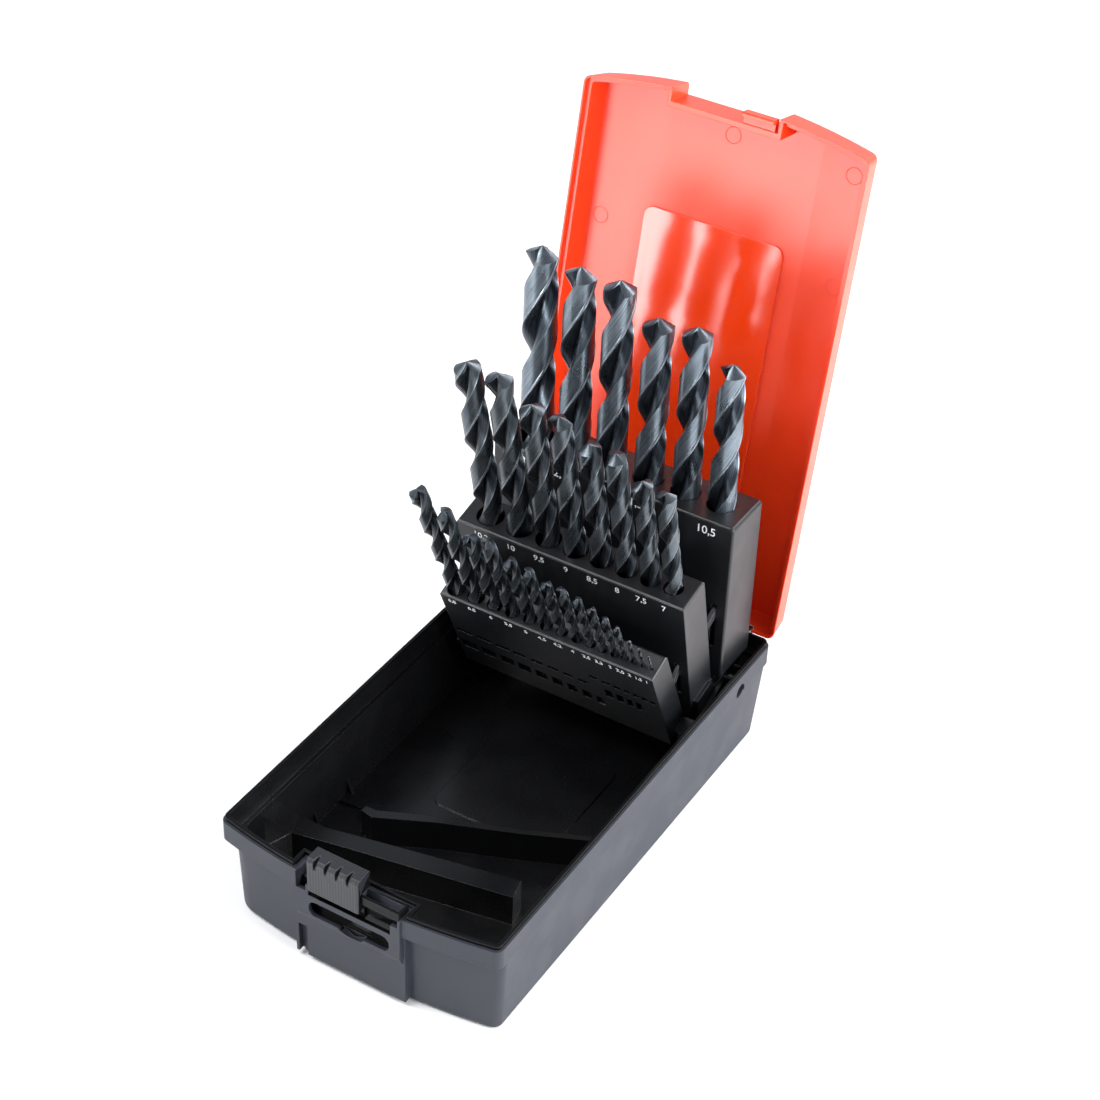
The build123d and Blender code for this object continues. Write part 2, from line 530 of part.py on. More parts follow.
with BuildPart() as front_holder:
    a = FRONT["a"]
    n0, n1 = FRONT["n0"], FRONT["n0"] + FRONT["t"]
    with BuildSketch(section(a)):
        with BuildLine():
            Polyline((n0, FRONT["bot"] + 1.6), (n0, FRONT["top"]), (n1, FRONT["top"]), (n1, FRONT["bot"]),
                     (n0 + 1.6, FRONT["bot"]), (n0, FRONT["bot"] + 1.6))
        make_face()
    extrude(amount=FRONT["half"], both=True)
    fillet(front_holder.faces().sort_by(Axis.Z)[-1].edges(), 0.8)
    for sx in (-1, 1):
        # foot flange out to the ear
        with BuildSketch(section(a, sx * (FRONT["half"] - 1.0))):
            with BuildLine():
                Polyline((-27.6, FRONT["bot"]), (n1, FRONT["bot"]), (n1, 6.5), (-27.6, 6.5),
                         (-27.6, FRONT["bot"]))
            make_face()
        extrude(amount=sx * (50.55 - FRONT["half"] + 1.0))
        with BuildSketch(section(a, sx * 49.0)):
            with BuildLine():
                Polyline((-27.6, FRONT["bot"]), (n1, -3.4), (0, -4.4), (0, 4.4), (n1, 5.6),
                         (-27.6, 6.5), (-27.6, FRONT["bot"]))
            make_face()
            with Locations((0, 0)):
                Circle(4.4)
        extrude(amount=sx * 1.55)
        with BuildSketch(section(a, sx * 48.0)):
            Circle(BORE_R)
        extrude(amount=sx * 4, mode=Mode.SUBTRACT)
    for d, length, x, s_end in FRONT_BITS:
        with BuildSketch(topface(a, s_end)):
            with Locations((x, FRONT["ax"])):
                Circle(d / 2 + SOCKET_GAP)
        extrude(amount=FRONT["top"] - s_end + 1, mode=Mode.SUBTRACT)
    # sight slits and windows in the front face
    for i, (d, length, x, s_end) in enumerate(FRONT_BITS):
        w = max(d - 0.2, 2.2)
        slit_s, win_s = (25.6, 15.8) if i < 8 else ((32.6, 15.2) if i == 8 else (32.2, 24.2))
        with BuildSketch(frontface(a, n0 - 0.5)):
            with Locations((x, slit_s)):
                Rectangle(w, 2.0)
            if i < 13:
                with Locations((x, win_s)):
                    Rectangle(w, 5.0)
        extrude(amount=-2.2, mode=Mode.SUBTRACT)
    # slots where the front drag links slide, with their side tracks
    for sx in (-1, 1):
        with BuildSketch(section(a, sx * MF_X)):
            with BuildLine():
                Polyline((-20.0, 17.2), (-24.5, 17.2), (-24.5, 29.2), (-20.0, 32.0), (-20.0, 17.2))
            make_face()
        extrude(amount=MF_T / 2 + 0.2, both=True, mode=Mode.SUBTRACT)
        with BuildSketch(section(a, sx * MF_X)):
            with Locations((-22.4, 23.1)):
                SlotOverall(10.6, 2.95, rotation=90)
        extrude(amount=MF_T / 2 + 0.6, both=True, mode=Mode.SUBTRACT)
front_holder.part.label = "front_holder"


# ----------------------------------------------------------------- links and pins
def link_shape(plane, p, q, half, thick, r_trun, reach):
    """Flat bar from p to q on the given plane, with a round stud at each end."""
    px, py = p
    qx, qy = q
    run = ((qx - px) ** 2 + (qy - py) ** 2) ** 0.5
    local = Plane(origin=plane.from_local_coords((px, py, 0)),
                  x_dir=plane.from_local_coords((qx, qy, 0)) - plane.from_local_coords((px, py, 0)),
                  z_dir=plane.z_dir)
    with BuildPart() as bar:
        with BuildSketch(local):
            with Locations((run / 2, 0)):
                SlotOverall(run + 2 * half, 2 * half)
        extrude(amount=thick / 2, both=True)
        with BuildSketch(local):
            with Locations((0, 0), (run, 0)):
                Circle(r_trun)
        extrude(amount=thick / 2 + reach, both=True)
    return bar.part


def low_end(a, s, n, upper):
    """A lower holder's point seen in the section plane of the upper holder."""
    w = at(a, s, n) - at(0, 0, 0)
    return (w.dot(u_across(upper)), w.dot(u_along(upper)))


links = {}
for side, sx in (("left", -1), ("right", 1)):
    links["rear_middle_link_" + side] = link_shape(
        section(REAR["a"], sx * RM_X), (RM_A[1], RM_A[0]),
        low_end(MID["a"], RM_B[0], RM_B[1], REAR["a"]), LINK_HALF, LINK_T, TRUN_R, 0.75)
    links["middle_front_link_" + side] = link_shape(
        section(MID["a"], sx * MF_X), (MF_A[1], MF_A[0]),
        low_end(FRONT["a"], MF_B[0], MF_B[1], MID["a"]), 1.5, MF_T, TRUN_R, 0.5)
for side, lx in (("left", LIFT_X[0]), ("right", LIFT_X[1])):
    dy, dz = opened(*LIFT_D)
    links["lift_link_" + side] = link_shape(
        Plane(origin=(lx, 0, 0), x_dir=(0, 1, 0), z_dir=(1, 0, 0)),
        (dy, dz), (PIVOT_Y + LIFT_C[1], PIVOT_Z + LIFT_C[0]), 2.0, LIFT_T, 1.12, 0.65)
for name, shape in links.items():
    shape.label = name

pins = {}
for side, sx in (("left", -1), ("right", 1)):
    with BuildPart() as pivot_pin:
        with BuildSketch(Plane.YZ.offset(sx * 45.0)):
            with Locations((PIVOT_Y, PIVOT_Z)):
                Circle(PIN_R)
        extrude(amount=sx * 8.2)
        chamfer(pivot_pin.edges(), 0.4)
    pins["pivot_pin_" + side] = pivot_pin.part
for side, x0 in (("left", -46.8), ("right", 25.6)):
    with BuildPart() as hinge_pin:
        with BuildSketch(Plane.YZ.offset(x0)):
            with Locations((HINGE_Y, HINGE_Z)):
                Circle(1.2)
        extrude(amount=21.2)
        chamfer(hinge_pin.edges(), 0.25)
    pins["hinge_pin_" + side] = hinge_pin.part
for name, shape in pins.items():
    shape.label = name


# ----------------------------------------------------------------- drills
def drill(holder, d, length, x, s_end):
    """A plain drill envelope: round shank and body with a 118 degree point."""
    a = holder["a"]
    r = d / 2
    point = r / tan(radians(59))
    base = at(a, s_end, holder["ax"], x)
    with BuildPart() as bit:
        with BuildSketch(Plane(origin=base, x_dir=(1, 0, 0), z_dir=-u_across(a))):
            with BuildLine():
                c = min(0.5, 0.15 * d)
                Polyline((0, 0), (r - c, 0), (r, c), (r, length - point), (0, length), (0, 0))
            make_face()
        revolve(axis=Axis(base, u_along(a)))
    return bit.part


drills = {}
for holder, rows in ((REAR, REAR_BITS), (MID, MID_BITS), (FRONT, FRONT_BITS)):
    for d, length, x, s_end in rows:
        name = "drill_%02d_%d" % (int(d), round((d - int(d)) * 10))
        drills[name] = drill(holder, d, length, x, s_end)
        drills[name].label = name

# ----------------------------------------------------------------- export
os.makedirs("parts", exist_ok=True)
for name, shape in (("base_tray", base_tray.part), ("lid", lid.part), ("latch_slider", latch_slider.part),
                    ("rear_holder", rear_holder.part), ("middle_holder", middle_holder.part),
                    ("front_holder", front_holder.part)):
    export_step(shape, "parts/" + name + ".step")
for group in (links, pins, drills):
    for name, shape in group.items():
        export_step(shape, "parts/" + name + ".step")
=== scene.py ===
import math
import random

import bmesh
import bpy
from mathutils import Matrix, Vector
from mathutils.bvhtree import BVHTree
from math import cos, degrees, pi, radians, sin, tan


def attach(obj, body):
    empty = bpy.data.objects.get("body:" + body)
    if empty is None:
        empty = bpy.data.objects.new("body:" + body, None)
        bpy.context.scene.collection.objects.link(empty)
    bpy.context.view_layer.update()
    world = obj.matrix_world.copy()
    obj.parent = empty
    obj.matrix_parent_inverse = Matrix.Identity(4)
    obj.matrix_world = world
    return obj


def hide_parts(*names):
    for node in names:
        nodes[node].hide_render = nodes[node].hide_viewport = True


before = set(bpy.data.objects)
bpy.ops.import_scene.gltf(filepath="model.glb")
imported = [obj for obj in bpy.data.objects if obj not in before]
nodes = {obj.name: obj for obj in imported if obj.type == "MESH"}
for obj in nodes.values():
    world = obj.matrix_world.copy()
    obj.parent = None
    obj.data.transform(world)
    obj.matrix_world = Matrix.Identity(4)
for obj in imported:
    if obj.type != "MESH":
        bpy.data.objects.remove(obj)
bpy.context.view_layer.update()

MM = 0.001
PIVOT = Vector((0.0, 70.0, 34.2))
HINGE_Y, HINGE_Z, LID_OPEN = 94.1, 41.0, 101.5
scene = bpy.context.scene

# ------------------------------------------------------------------ holders
REAR = dict(body="rear", a=0.0, ax=6.1, face=-4.8, top=74.6)
MID = dict(body="middle", a=13.0, ax=-12.7, face=-20.2, top=62.8)
FRONT = dict(body="front", a=23.2, ax=-27.0, face=-31.4, top=50.2)
# diameter, length, flute length, x, shank end along the holder, turn of the lips in degrees
REAR_BITS = [
    (13.0, 151, 101, -38.4, 4.0, 125), (12.5, 151, 101, -22.5, 0.8, 126), (12.0, 151, 101, -6.7, 0.8, 161),
    (11.5, 142, 94, 9.2, 0.2, 152), (11.0, 142, 94, 24.5, 2.0, 156), (10.5, 133, 87, 39.0, 1.0, 113)]
MID_BITS = [
    (10.2, 133, 87, -37.1, 7.7, 21), (10.0, 133, 87, -24.4, 7.7, 160), (9.5, 125, 81, -12.4, 6.0, 15),
    (9.0, 125, 81, -1.1, 5.4, 130), (8.5, 117, 75, 9.8, 5.4, 60), (8.0, 117, 75, 20.1, 5.4, 95),
    (7.5, 109, 69, 29.9, 4.4, 20), (7.0, 109, 69, 39.0, 3.2, 150)]
FRONT_BITS = [
    (6.8, 109, 69, -39.8, 6.5, 35), (6.5, 101, 63, -31.3, 6.0, 80), (6.0, 93, 57, -23.1, 3.2, 10),
    (5.5, 93, 57, -15.6, 4.7, 120), (5.0, 86, 52, -8.2, 4.2, 55), (4.5, 80, 47, -1.3, 7.9, 95),
    (4.2, 75, 43, 5.2, 8.6, 20), (4.0, 75, 43, 11.5, 8.9, 140), (3.5, 70, 39, 17.2, 11.0, 70),
    (3.3, 65, 36, 22.3, 12.9, 30), (3.0, 61, 33, 27.0, 13.4, 100), (2.5, 57, 30, 31.1, 14.0, 60),
    (2.0, 49, 24, 34.9, 15.5, 10), (1.5, 40, 18, 38.5, 22.0, 80), (1.0, 34, 12, 41.9, 24.8, 45)]


def at(a, s, n, x=0.0):
    r = radians(a)
    return PIVOT + Vector((x, -sin(r) * s + cos(r) * n, cos(r) * s + sin(r) * n))


# ------------------------------------------------------------------ node helpers
class Mat:
    """A small helper around one material's node tree."""

    def __init__(self, name):
        self.mat = bpy.data.materials.new(name)
        self.mat.use_nodes = True
        self.t = self.mat.node_tree
        self.t.nodes.clear()
        self.out = self.t.nodes.new("ShaderNodeOutputMaterial")
        self.bsdf = self.t.nodes.new("ShaderNodeBsdfPrincipled")
        self.t.links.new(self.bsdf.outputs[0], self.out.inputs["Surface"])
        self.coord = self.t.nodes.new("ShaderNodeTexCoord").outputs["Object"]

    def node(self, kind, **props):
        n = self.t.nodes.new(kind)
        for k, v in props.items():
            setattr(n, k, v)
        return n

    def link(self, a, b):
        self.t.links.new(a, b)

    def put(self, sock, v):
        if isinstance(v, bpy.types.NodeSocket):
            self.link(v, sock)
        else:
            sock.default_value = v

    def math(self, op, a, b=None, c=None, clamp=False):
        n = self.node("ShaderNodeMath", operation=op, use_clamp=clamp)
        self.put(n.inputs[0], a)
        if b is not None:
            self.put(n.inputs[1], b)
        if c is not None:
            self.put(n.inputs[2], c)
        return n.outputs[0]

    def vmath(self, op, a, b=None):
        n = self.node("ShaderNodeVectorMath", operation=op)
        self.put(n.inputs[0], a)
        if b is not None:
            self.put(n.inputs[1], b)
        return n.outputs["Value"] if op in ("DOT_PRODUCT", "LENGTH") else n.outputs["Vector"]

    def xyz(self, v):
        n = self.node("ShaderNodeSeparateXYZ")
        self.link(v, n.inputs[0])
        return n.outputs[0], n.outputs[1], n.outputs[2]

    def noise(self, vec, scale, detail=3.0, rough=0.5, distort=0.0):
        n = self.node("ShaderNodeTexNoise")
        self.link(vec, n.inputs["Vector"])
        n.inputs["Scale"].default_value = scale
        n.inputs["Detail"].default_value = detail
        n.inputs["Roughness"].default_value = rough
        n.inputs["Distortion"].default_value = distort
        return n.outputs["Fac"]

    def voronoi(self, vec, scale, feature="F1"):
        n = self.node("ShaderNodeTexVoronoi", feature=feature)
        self.link(vec, n.inputs["Vector"])
        n.inputs["Scale"].default_value = scale
        return n.outputs["Distance"]

    def ramp(self, v, lo, hi, a=0.0, b=1.0, smooth=True):
        n = self.node("ShaderNodeMapRange", interpolation_type="SMOOTHSTEP" if smooth else "LINEAR")
        self.put(n.inputs["Value"], v)
        n.inputs["From Min"].default_value = lo
        n.inputs["From Max"].default_value = hi
        self.put(n.inputs["To Min"], a)
        self.put(n.inputs["To Max"], b)
        return n.outputs[0]

    def mix(self, fac, a, b):
        n = self.node("ShaderNodeMix", data_type="RGBA")
        self.put(n.inputs["Factor"], fac)
        self.put(n.inputs[6], a)
        self.put(n.inputs[7], b)
        return n.outputs[2]

    def bump(self, height, strength, dist, normal=None):
        n = self.node("ShaderNodeBump")
        n.inputs["Strength"].default_value = strength
        n.inputs["Distance"].default_value = dist
        self.link(height, n.inputs["Height"])
        if normal is not None:
            self.link(normal, n.inputs["Normal"])
        return n.outputs[0]

    def round_edges(self, radius, samples=6):
        n = self.node("ShaderNodeBevel", samples=samples)
        n.inputs["Radius"].default_value = radius
        return n.outputs[0]


def col(r, g, b):
    return (r, g, b, 1.0)


# ------------------------------------------------------------------ plastics
def make_case_outer(name):
    """Fine moulded texture of the tray's outside."""
    m = Mat(name)
    grain = m.noise(m.coord, 2600, 2.0, 0.6)
    pebble = m.voronoi(m.coord, 1500)
    wave = m.noise(m.coord, 60, 3.0, 0.5)
    scuff_v = m.vmath("MULTIPLY", m.coord, (40.0, 420.0, 260.0))
    scuff = m.ramp(m.noise(scuff_v, 1.6, 4.0, 0.6, 0.6), 0.66, 0.76)
    dust = m.ramp(m.noise(m.coord, 900, 4.0, 0.7), 0.62, 0.80)
    height = m.math("ADD", m.math("MULTIPLY", grain, 0.6), m.math("MULTIPLY", pebble, 0.8))
    height = m.math("ADD", height, m.math("MULTIPLY", wave, 0.12))
    outer = m.mix(wave, col(0.022, 0.025, 0.034), col(0.029, 0.033, 0.044))
    outer = m.mix(m.math("MULTIPLY", scuff, 0.22), outer, col(0.070, 0.073, 0.080))
    m.link(outer, m.bsdf.inputs["Base Color"])
    rough = m.math("ADD", m.ramp(wave, 0.3, 0.7, 0.40, 0.50), m.math("MULTIPLY", dust, 0.10))
    m.link(rough, m.bsdf.inputs["Roughness"])
    m.link(m.bump(height, 0.55, 0.00006, m.round_edges(0.0004)), m.bsdf.inputs["Normal"])
    m.bsdf.inputs["IOR"].default_value = 1.52
    m.bsdf.inputs["Specular IOR Level"].default_value = 0.30
    return m.mat


def make_case_inner(name, dark, specular, rough_lo, rough_hi):
    """Smooth moulded black of the tray's inside; a darker, low-specular copy gives the polished lip and serves as
    painted shade on the lip and in recesses.
    """
    m = Mat(name)
    grain = m.noise(m.coord, 2600, 2.0, 0.6)
    wave = m.noise(m.coord, 60, 3.0, 0.5)
    dust = m.ramp(m.noise(m.coord, 900, 4.0, 0.7), 0.62, 0.80)
    inner = m.mix(wave, col(dark, dark * 1.04, dark * 1.2), col(dark * 1.5, dark * 1.55, dark * 1.75))
    inner = m.mix(m.math("MULTIPLY", dust, 0.08), inner, col(0.03, 0.03, 0.032))
    m.link(inner, m.bsdf.inputs["Base Color"])
    rough = m.math("ADD", m.ramp(wave, 0.3, 0.7, rough_lo, rough_hi), m.math("MULTIPLY", dust, 0.10))
    m.link(rough, m.bsdf.inputs["Roughness"])
    height = m.math("ADD", m.math("MULTIPLY", grain, 0.15), m.math("MULTIPLY", wave, 0.2))
    m.link(m.bump(height, 0.35, 0.00005, m.round_edges(0.0003)), m.bsdf.inputs["Normal"])
    m.bsdf.inputs["IOR"].default_value = 1.50
    m.bsdf.inputs["Specular IOR Level"].default_value = specular
    return m.mat


def make_holder(name, rib=0.0):
    """Satin moulded black; rib is the pitch of fine upright ribs along x, 0 for none."""
    m = Mat(name)
    grain = m.noise(m.coord, 2200, 2.0, 0.6)
    wave = m.noise(m.coord, 45, 3.0, 0.5)
    dust = m.ramp(m.noise(m.coord, 700, 4.0, 0.7), 0.62, 0.80)
    flow = m.noise(m.vmath("MULTIPLY", m.coord, (60.0, 60.0, 340.0)), 1.5, 3.0, 0.6)
    height = m.math("ADD", m.math("MULTIPLY", grain, 0.5), m.math("MULTIPLY", flow, 0.10))
    normal = m.bump(height, 0.35, 0.00005, m.round_edges(0.00045))
    if rib:
        across = m.math("SINE", m.math("MULTIPLY", m.xyz(m.coord)[0], 2 * pi / rib))
        normal = m.bump(across, 0.5, 0.00006, normal)
    dark = 2.3 if rib else 1.0
    base = m.mix(wave, col(0.0050 * dark, 0.0054 * dark, 0.0066 * dark), col(0.0075 * dark, 0.0080 * dark, 0.0096 * dark))
    base = m.mix(m.math("MULTIPLY", dust, 0.10), base, col(0.04, 0.04, 0.04))
    m.link(base, m.bsdf.inputs["Base Color"])
    rough = m.math("ADD", m.ramp(wave, 0.3, 0.7, 0.30, 0.42), m.math("MULTIPLY", dust, 0.15))
    m.link(rough, m.bsdf.inputs["Roughness"])
    m.link(normal, m.bsdf.inputs["Normal"])
    m.bsdf.inputs["IOR"].default_value = 1.50
    return m.mat


def make_lid(name):
    """Orange-red moulded plastic: satin, with a polished field on the inner panel."""
    m = Mat(name)
    t = radians(LID_OPEN)
    d = m.vmath("SUBTRACT", m.coord, (0.0, HINGE_Y * MM, HINGE_Z * MM))
    x = m.xyz(m.coord)[0]
    yc = m.math("ADD", m.vmath("DOT_PRODUCT", d, (0.0, cos(t), -sin(t))), HINGE_Y * MM)
    zc = m.math("ADD", m.vmath("DOT_PRODUCT", d, (0.0, sin(t), cos(t))), HINGE_Z * MM)
    panel = m.math("MULTIPLY", m.ramp(m.math("ABSOLUTE", m.math("ADD", x, 0.0012)), 0.02845, 0.0286, 1, 0),
                   m.ramp(yc, -0.0517, -0.0514, 0, 1))
    panel = m.math("MULTIPLY", panel, m.ramp(yc, 0.0740, 0.0742, 1, 0))
    panel = m.math("MULTIPLY", panel, m.ramp(zc, 0.0521, 0.0523, 1, 0))
    # broad facets of the moulding: the plate is very slightly folded along two lines
    grain = m.noise(m.coord, 1900, 2.0, 0.6)
    flow = m.noise(m.vmath("MULTIPLY", m.coord, (50.0, 30.0, 14.0)), 1.4, 4.0, 0.55, 0.4)
    speck = m.ramp(m.noise(m.coord, 1300, 3.0, 0.7), 0.70, 0.80)
    height = m.math("ADD", m.math("MULTIPLY", grain, m.ramp(panel, 0, 1, 0.30, 0.02)), m.math("MULTIPLY", flow, 0.13))
    normal = m.bump(height, 0.25, 0.00005, m.round_edges(0.00035))
    tilt = m.math("ADD", m.math("MAXIMUM", m.math("MULTIPLY", m.math("SUBTRACT", -0.026, x), 0.4), 0.0),
                  m.math("MAXIMUM", m.math("SUBTRACT", x, 0.0345), 0.0))
    normal = m.bump(m.math("MULTIPLY", tilt, 0.07), 1.0, 1.0, normal)
    base = m.mix(flow, col(0.74, 0.040, 0.0038), col(0.81, 0.052, 0.0065))
    base = m.mix(m.math("MULTIPLY", speck, 0.10), base, col(0.95, 0.35, 0.22))
    m.link(base, m.bsdf.inputs["Base Color"])
    rough = m.ramp(panel, 0.0, 1.0, 0.34, 0.10)
    rough = m.math("ADD", rough, m.math("MULTIPLY", flow, 0.04))
    m.link(rough, m.bsdf.inputs["Roughness"])
    m.link(normal, m.bsdf.inputs["Normal"])
    b = m.bsdf.inputs
    b["IOR"].default_value = 1.52
    b["Subsurface Weight"].default_value = 0.35
    b["Subsurface Radius"].default_value = (1.0, 0.22, 0.08)
    b["Subsurface Scale"].default_value = 0.0025
    b["Coat Weight"].default_value = 0.08
    b["Coat Roughness"].default_value = 0.25
    return m.mat


def make_link(name):
    """Dark glossy plastic of the pivot links."""
    m = Mat(name)
    wave = m.noise(m.coord, 300, 3.0, 0.5)
    grain = m.noise(m.coord, 2500, 2.0, 0.5)
    m.link(m.mix(wave, col(0.026, 0.027, 0.030), col(0.040, 0.041, 0.045)), m.bsdf.inputs["Base Color"])
    m.link(m.ramp(wave, 0.3, 0.7, 0.12, 0.20), m.bsdf.inputs["Roughness"])
    m.link(m.bump(grain, 0.15, 0.00004, m.round_edges(0.0003)), m.bsdf.inputs["Normal"])
    m.bsdf.inputs["IOR"].default_value = 1.53
    return m.mat


def make_steel(name):
    m = Mat(name)
    draw = m.noise(m.vmath("MULTIPLY", m.coord, (30.0, 2600.0, 2600.0)), 1.0, 3.0, 0.6)
    m.link(m.mix(draw, col(0.42, 0.42, 0.43), col(0.62, 0.62, 0.63)), m.bsdf.inputs["Base Color"])
    m.link(m.ramp(draw, 0.3, 0.7, 0.22, 0.36), m.bsdf.inputs["Roughness"])
    m.link(m.bump(draw, 0.2, 0.00003, m.round_edges(0.0002)), m.bsdf.inputs["Normal"])
    m.bsdf.inputs["Metallic"].default_value = 1.0
    return m.mat


def make_drill(name, tone):
    """Steam-oxidised high speed steel: blue-black with grinding marks and paler land edges; the darker flutes and the
    near-black shank are painted shade.
    """
    m = Mat(name)
    attr = m.node("ShaderNodeAttribute", attribute_name="along")
    along = m.xyz(attr.outputs["Vector"])       # millimetres in the untwisted section, and height
    kind = m.node("ShaderNodeAttribute", attribute_name="kind").outputs["Fac"]   # 0 body, 1 margin, 2 point, 3 shank
    share = m.node("ShaderNodeAttribute", attribute_name="share").outputs["Fac"]
    wave = m.noise(m.coord, 160, 4.0, 0.6)
    fine = m.noise(m.coord, 1400, 3.0, 0.6)
    grind_v = m.node("ShaderNodeCombineXYZ")
    m.link(m.math("MULTIPLY", along[0], 2.1), grind_v.inputs[0])
    m.link(m.math("MULTIPLY", along[1], 2.1), grind_v.inputs[1])
    m.link(m.math("MULTIPLY", along[2], 0.045), grind_v.inputs[2])
    grind = m.noise(grind_v.outputs[0], 1.0, 4.0, 0.70)
    streak = m.ramp(grind, 0.30, 0.72)
    margin = m.ramp(m.math("ABSOLUTE", m.math("SUBTRACT", kind, 1.0)), 0.1, 0.5, 1, 0)
    point = m.ramp(m.math("ABSOLUTE", m.math("SUBTRACT", kind, 2.0)), 0.1, 0.5, 1, 0)
    # flutes get a darker colour than the lands: painted shade in the flute hollows
    flute = m.math("MULTIPLY", m.ramp(share, 0.86, 0.95, 1, 0), m.math("SUBTRACT", 1.0, point))
    land_c = m.mix(streak, col(0.105, 0.130, 0.158), col(0.240, 0.282, 0.318))
    flute_shade_c = m.mix(streak, col(0.020, 0.026, 0.035), col(0.085, 0.103, 0.124))
    base = m.mix(flute, land_c, flute_shade_c)
    base = m.vmath("MULTIPLY", base, (tone, tone * (0.6 + 0.4 * tone) ** 0.12, tone * (0.6 + 0.4 * tone) ** 0.35))
    base = m.mix(m.math("MULTIPLY", m.ramp(fine, 0.55, 0.8), 0.35), base, col(0.030, 0.033, 0.038))
    base = m.mix(m.math("MULTIPLY", margin, m.ramp(fine, 0.35, 0.6, 0.10, 0.75)), base, col(0.36, 0.375, 0.395))
    base = m.mix(m.math("MULTIPLY", point, m.ramp(wave, 0.35, 0.65, 0.45, 0.9)), base, col(0.070, 0.082, 0.096))
    # kind 3, the shank and flute run-out down in the holder's sockets: near-black colour is painted shade; the added
    # roughness is real
    shank = m.ramp(kind, 2.4, 2.8)
    base = m.mix(shank, base, m.mix(wave, col(0.006, 0.007, 0.008), col(0.012, 0.013, 0.015)))
    m.link(base, m.bsdf.inputs["Base Color"])
    rough = m.math("ADD", m.ramp(wave, 0.3, 0.7, 0.22, 0.36), m.math("MULTIPLY", grind, 0.08))
    rough = m.math("ADD", rough, m.math("MULTIPLY", shank, 0.20))
    m.link(rough, m.bsdf.inputs["Roughness"])
    height = m.math("ADD", m.math("MULTIPLY", grind, 0.9), m.math("MULTIPLY", fine, 0.2))
    m.link(m.bump(height, 0.22, 0.00006), m.bsdf.inputs["Normal"])
    m.bsdf.inputs["Metallic"].default_value = 0.88
    m.bsdf.inputs["Specular IOR Level"].default_value = 0.6
    return m.mat


def make_ink(name):
    m = Mat(name)
    wear = m.noise(m.coord, 1500, 3.0, 0.7)
    m.link(m.mix(m.ramp(wear, 0.45, 0.75), col(0.86, 0.87, 0.88), col(0.60, 0.61, 0.62)), m.bsdf.inputs["Base Color"])
    m.link(m.ramp(wear, 0.3, 0.7, 0.45, 0.6), m.bsdf.inputs["Roughness"])
    m.link(m.bump(wear, 0.3, 0.00003), m.bsdf.inputs["Normal"])
    return m.mat


CASE_OUT = make_case_outer("case_black_textured")
CASE_IN = make_case_inner("case_black_inside", 0.0036, 0.45, 0.22, 0.32)
# near-black copy: partly the lip's polished finish, partly painted shade on the lip, the latch window, the slider's
# hidden faces and the holder's sight windows
SHADE_BLACK = make_case_inner("black_lip_painted_shade", 0.0030, 0.14, 0.14, 0.22)
HOLDER = make_holder("holder_black_satin")
GRIP = make_holder("slider_black_ribbed", 0.00115)
LID = make_lid("lid_orange_moulded")
LINK = make_link("link_dark_gloss")
STEEL = make_steel("pin_drawn_steel")
DRILL = make_drill("drill_steam_oxide", 1.0)
DRILL_SMALL = make_drill("drill_steam_oxide_black", 0.62)
INK = make_ink("number_ink_white")


def paint(names, mat):
    for n in names:
        o = nodes[n]
        o.data.materials.clear()
        o.data.materials.append(mat)
        for p in o.data.polygons:
            p.material_index = 0


paint(["base_tray"], CASE_OUT)
paint(["latch_slider", "rear_holder", "middle_holder", "front_holder", "pivot_pin_left", "pivot_pin_right"], HOLDER)
paint(["lid"], LID)
paint(["hinge_pin_left", "hinge_pin_right"], STEEL)
paint([n for n in nodes if "_link_" in n], LINK)


def split_case(o):
    """Inside faces and outside of the tray get their own finish; the lip (polished, with painted shade), the foot of
    the latch window and the window behind the slider get the near-black material as painted shade.
    """
    me = o.data
    me.materials.append(CASE_IN)
    me.materials.append(SHADE_BLACK)
    tree = BVHTree.FromPolygons([v.co for v in me.vertices], [tuple(p.vertices) for p in me.polygons])
    ways = (Vector((1, 0, 0)), Vector((-1, 0, 0)), Vector((0, 1, 0)), Vector((0, -1, 0)))
    for p in me.polygons:
        c = p.center
        start = c + p.normal * 0.0002
        # lip above the band and the upward face at the foot of the latch window: near-black, painted shade
        if c.z > 0.04102 or (abs(c.x) < 0.0185 and c.y < -0.0985 and 0.0323 < c.z < 0.0333 and p.normal.z > 0.8):
            p.material_index = 2
        elif all(tree.ray_cast(start, w)[0] is not None for w in ways):
            p.material_index = 1
        # latch window behind the slider: near-black, painted shade
        elif abs(c.x) < 0.0185 and -0.0998 < c.y < -0.0955 and 0.0225 < c.z < 0.0373:
            p.material_index = 2


split_case(nodes["base_tray"])


def split_slider(o):
    o.data.materials.clear()
    o.data.materials.append(GRIP)
    o.data.materials.append(SHADE_BLACK)
    for p in o.data.polygons:
        # faces behind the grip's front plate and under it: near-black, painted shade
        in_shade = p.center.y > -0.1018 and (p.center.z < 0.0446 or p.center.y > -0.0990 and p.normal.z < 0.3)
        p.material_index = 1 if in_shade else 0


split_slider(nodes["latch_slider"])


def split_windows(o, holder, lo, hi):
    o.data.materials.append(SHADE_BLACK)
    # faces inside the front holder's sight windows: near-black, painted shade
    r = radians(holder["a"])
    for p in o.data.polygons:
        q = p.center / MM - PIVOT
        n = q.y * cos(r) + q.z * sin(r) - holder["face"]
        s = -q.y * sin(r) + q.z * cos(r)
        if 0.12 < n < 3.2 and lo < s < hi and abs(q.x) < 43.4:
            p.material_index = 1


split_windows(nodes["front_holder"], FRONT, 13.0, 34.5)


# ------------------------------------------------------------------ drills
LAND = radians(84)                          # a land's share of each half turn
HELIX = radians(30.0)


